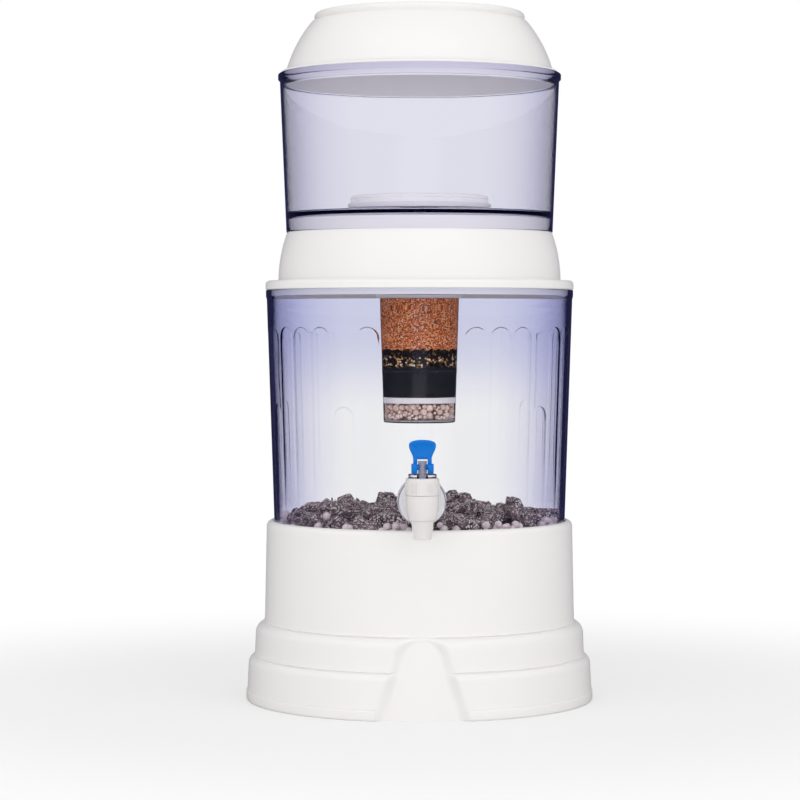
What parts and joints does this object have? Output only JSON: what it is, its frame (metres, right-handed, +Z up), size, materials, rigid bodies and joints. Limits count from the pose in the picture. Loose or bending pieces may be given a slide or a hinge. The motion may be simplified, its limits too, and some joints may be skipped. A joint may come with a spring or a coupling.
{
  "type": "gravity water filter with tap",
  "caption": "Countertop gravity water filter: lidded clear upper tank over a white collar, hanging filter cartridge in a fluted clear lower tank, stepped white base and a lever tap.",
  "frame": {"origin": "on the tanks' vertical axis, at the floor under the base", "axes": "+Z up along the tanks' axis, -Y towards the tap and the niche, +X to the right as seen from the front"},
  "size_m": [0.291, 0.3107, 0.574],
  "materials": {
    "white_abs": "smooth satin white moulding",
    "clear_tint": "clear, faintly blue-violet, polished",
    "clear_silicone": "translucent, smooth",
    "dark_stone": "rough, speckled dark grey-brown",
    "pale_bead": "matt white beads",
    "pink_bead": "matt pale pink-beige balls",
    "filter_ceramic": "fine matt white",
    "grey_rubber": "matt",
    "black_rubber": "matt black",
    "grey_plastic": "translucent grey moulding",
    "grey_felt": "grey felt",
    "white_felt": "white felt",
    "clay_granules": "orange-brown granules",
    "speckled_granules": "black granules with gold flecks",
    "carbon_granules": "black granules",
    "dark_mesh": "dark woven mesh",
    "white_tap": "glossy white moulding",
    "steel": "drawn stainless wire",
    "blue_plastic": "glossy blue moulding"
  },
  "bodies": {
    "base": {"base_stand": "white_abs"},
    "lower_tank_unit": {"lower_tank": "clear_tint", "mineral_stones": "dark_stone", "mineral_beads": "pale_bead", "tap_body": "white_tap", "tap_outer_washer": "clear_silicone", "tap_inner_washer": "grey_rubber", "tap_nut": "white_tap", "tap_bonnet": "white_tap", "tap_top_ring": "clear_tint", "tap_spring": "steel"},
    "valve_stem": {"tap_stem": "grey_plastic", "tap_plunger": "clear_silicone", "tap_pin": "steel"},
    "lever": {"tap_handle": "blue_plastic"},
    "collar_unit": {"collar": "white_abs"},
    "upper_tank_unit": {"upper_tank": "clear_tint", "prefilter_pan": "white_abs", "prefilter_disc": "filter_ceramic", "prefilter_gasket": "grey_rubber", "prefilter_stem": "grey_plastic", "prefilter_wing_nut": "grey_plastic", "cartridge_cap": "white_abs", "cartridge_oring": "black_rubber", "cartridge_shell": "clear_tint", "cartridge_top_pad": "grey_felt", "media_clay": "clay_granules", "media_zeolite": "speckled_granules", "media_carbon": "carbon_granules", "cartridge_lower_pad": "white_felt", "mineral_balls": "pink_bead", "cartridge_grate": "dark_mesh"},
    "lid_unit": {"lid": "white_abs"}
  },
  "joints": [
    {"name": "lower_tank_lift", "type": "slide", "parent": "base", "child": "lower_tank_unit", "axis": [0, 0, 1], "range_m": [0, 0.05]},
    {"name": "collar_lift", "type": "slide", "parent": "lower_tank_unit", "child": "collar_unit", "axis": [0, 0, 1], "range_m": [0, 0.06]},
    {"name": "upper_tank_lift", "type": "slide", "parent": "collar_unit", "child": "upper_tank_unit", "axis": [0, 0, 1], "range_m": [0, 0.18]},
    {"name": "lid_lift", "type": "slide", "parent": "upper_tank_unit", "child": "lid_unit", "axis": [0, 0, 1], "range_m": [0, 0.08]},
    {"name": "stem_lift", "type": "slide", "parent": "lower_tank_unit", "child": "valve_stem", "axis": [0, 0, 1], "range_m": [0, 0.00288], "stiffness_N_per_m": 400, "springref_m": -0.004, "deforming": ["tap_spring"]},
    {"name": "lever_tilt", "type": "hinge", "parent": "valve_stem", "child": "lever", "pos_m": [0, -0.152, 0.202], "axis": [1, 0, 0], "range_deg": [0, 75]}
  ],
  "couplings": [
    {"joint": "lever_tilt", "follows": "stem_lift", "rad_per_m": 454.5}
  ]
}
